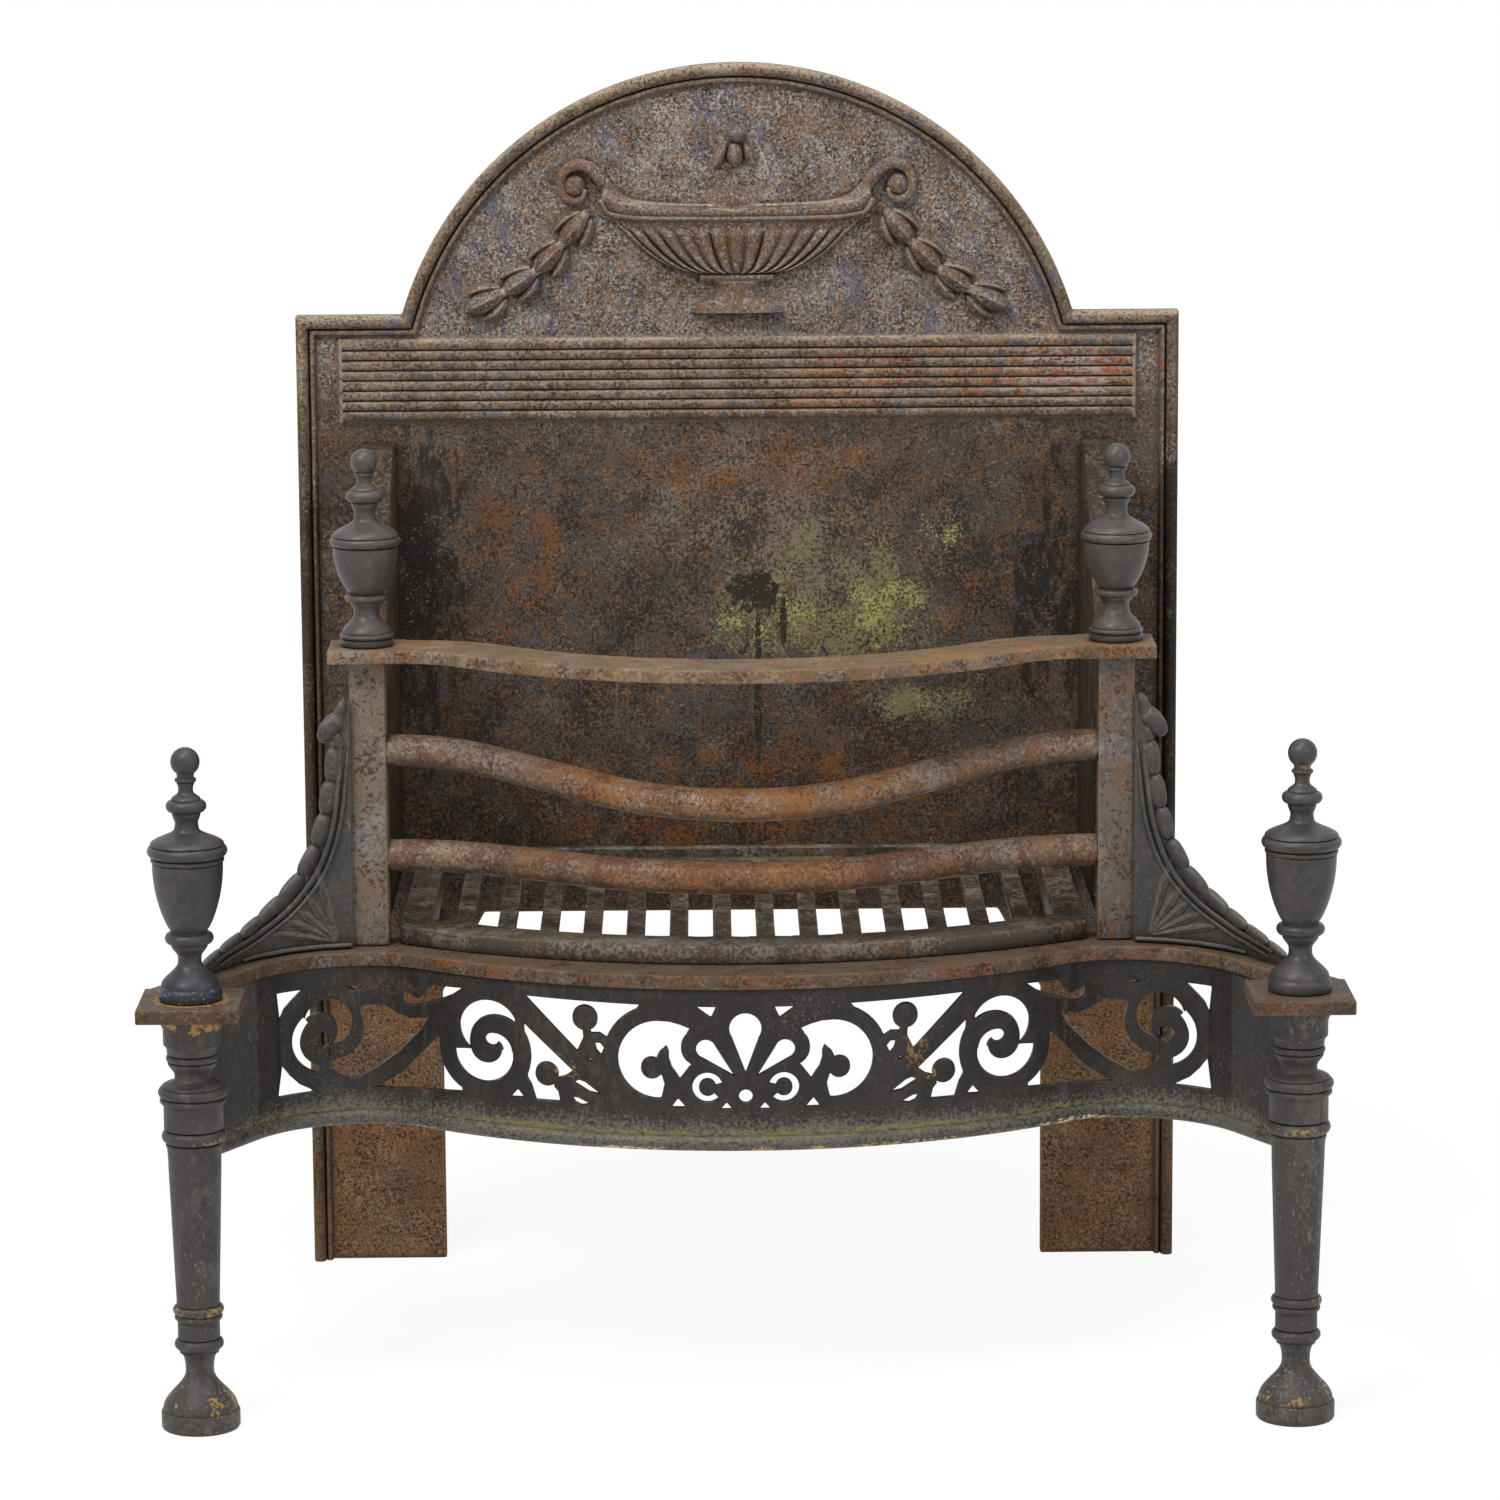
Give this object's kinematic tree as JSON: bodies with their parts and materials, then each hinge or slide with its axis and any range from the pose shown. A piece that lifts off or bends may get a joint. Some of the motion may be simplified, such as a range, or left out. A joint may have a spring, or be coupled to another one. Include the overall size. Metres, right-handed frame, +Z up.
{
  "type": "fire grate",
  "caption": "Neoclassical serpentine-front fire grate with arched fireback, pierced fret, round front bars, cheeks, loose bottom grate, turned legs and urn finials.",
  "frame": {"origin": "on the floor at the middle of the footprint, between the front of the leg plates and the back of the fireback", "axes": "+Z up, +X to the viewer's right when facing the front, front towards -Y"},
  "size_m": [0.828, 0.475, 0.9115],
  "materials": {
    "fireback": "old bare casting, mottled grey and brown rust",
    "cheek_left": "old bare casting, scaled and pitted",
    "cheek_right": "old bare casting, scaled and pitted",
    "wrought_rail": "flat bar with brown rust",
    "post_left": "square bar, pale scale with rust pits",
    "post_right": "square bar, grey scale with rust edges",
    "bar": "round bar with brown rust",
    "grate": "soot-dark casting",
    "bearer": "flat bar with brown rust",
    "black_casting": "satin black stove paint, worn",
    "top_finial": "satin grey-black paint",
    "fixings": "rusty steel"
  },
  "bodies": {
    "basket": {"fireback": "fireback", "cheek_left": "cheek_left", "cheek_right": "cheek_right", "top_rail": "wrought_rail", "lower_rail": "wrought_rail", "post_left": "post_left", "post_right": "post_right", "upper_bar": "bar", "lower_bar": "bar", "bearer_left": "bearer", "bearer_right": "bearer", "fret_apron": "black_casting", "wing_left": "black_casting", "wing_right": "black_casting", "leg_left": "black_casting", "leg_right": "black_casting", "leg_finial_left": "black_casting", "leg_finial_right": "black_casting", "top_finial_left": "top_finial", "top_finial_right": "top_finial", "leg_studs": "fixings", "post_studs": "fixings", "post_bolts": "fixings", "frame_bolts": "fixings", "fret_screws": "fixings"},
    "bottom_grate": {"bottom_grate": "grate"}
  },
  "joints": [
    {"name": "grate_lift", "type": "slide", "parent": "basket", "child": "bottom_grate", "axis": [0, 0, 1], "range_m": [0, 0.035]}
  ]
}
